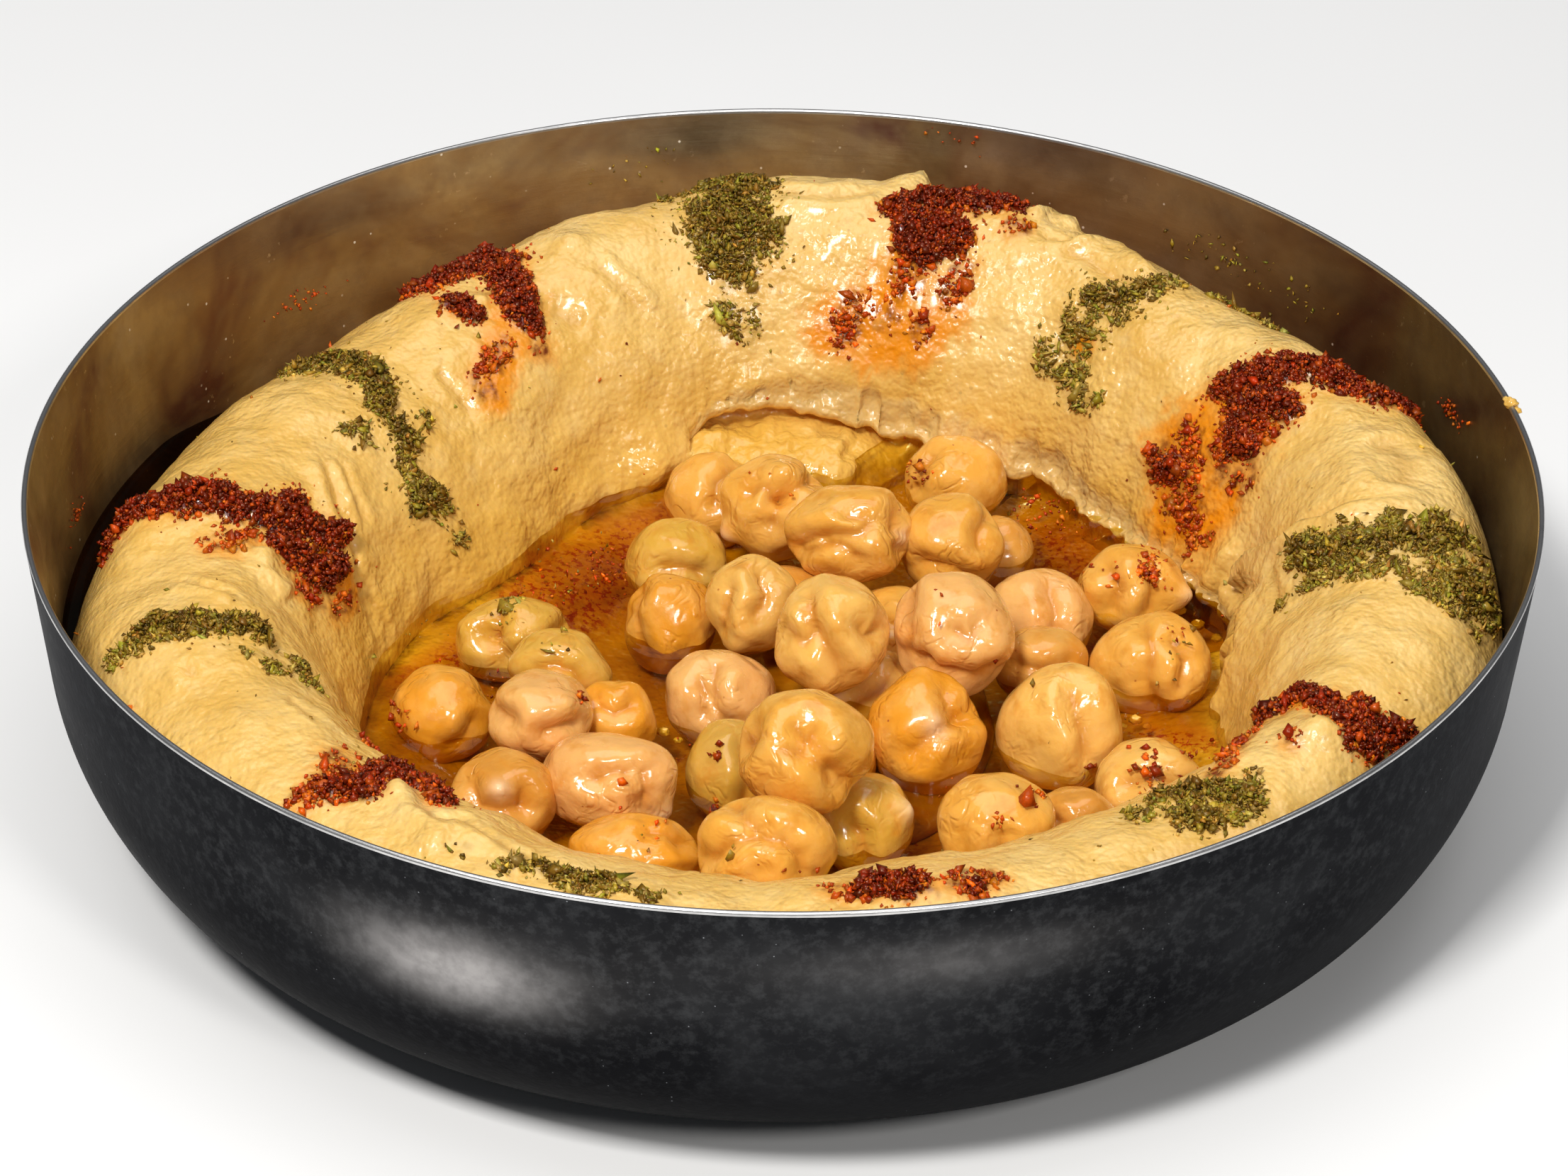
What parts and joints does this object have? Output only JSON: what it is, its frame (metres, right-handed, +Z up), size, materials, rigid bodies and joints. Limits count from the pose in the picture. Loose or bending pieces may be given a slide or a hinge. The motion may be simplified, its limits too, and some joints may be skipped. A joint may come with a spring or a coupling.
{
  "type": "bowl of hummus with chickpeas",
  "caption": "Round metal bowl holding a thick ring of hummus with olive oil and whole chickpeas in the middle and bands of ground red and green spice on top.",
  "frame": {"origin": "centre of the bowl's flat base, on the surface it stands on", "axes": "+Z up; +X to the right and -Y towards the viewer of the side shown"},
  "size_m": [0.16, 0.16, 0.038],
  "materials": {
    "bowl_metal": "dark charcoal satin outside, duller warm grey inside, bare bright edge at the rim",
    "hummus": "moist pale beige-yellow paste with a fine grain, glossy where oil lies on it",
    "chickpea": "wet orange-beige, wrinkled skin",
    "olive_oil": "clear amber to golden brown liquid, mirror smooth",
    "red_spice": "coarse dark red to orange-red flakes, oily",
    "green_herb": "coarse dry green-brown crumbs, oily"
  },
  "bodies": {
    "root": {"bowl": "bowl_metal", "hummus": "hummus", "oil_pool": "olive_oil", "oil_crescent": "olive_oil", "chickpea_heap": "chickpea", "chickpea_01": "chickpea", "chickpea_02": "chickpea", "chickpea_03": "chickpea", "chickpea_04": "chickpea", "chickpea_05": "chickpea", "chickpea_06": "chickpea", "chickpea_07": "chickpea", "chickpea_08": "chickpea", "chickpea_09": "chickpea", "chickpea_10": "chickpea", "chickpea_11": "chickpea"}
  },
  "joints": []
}
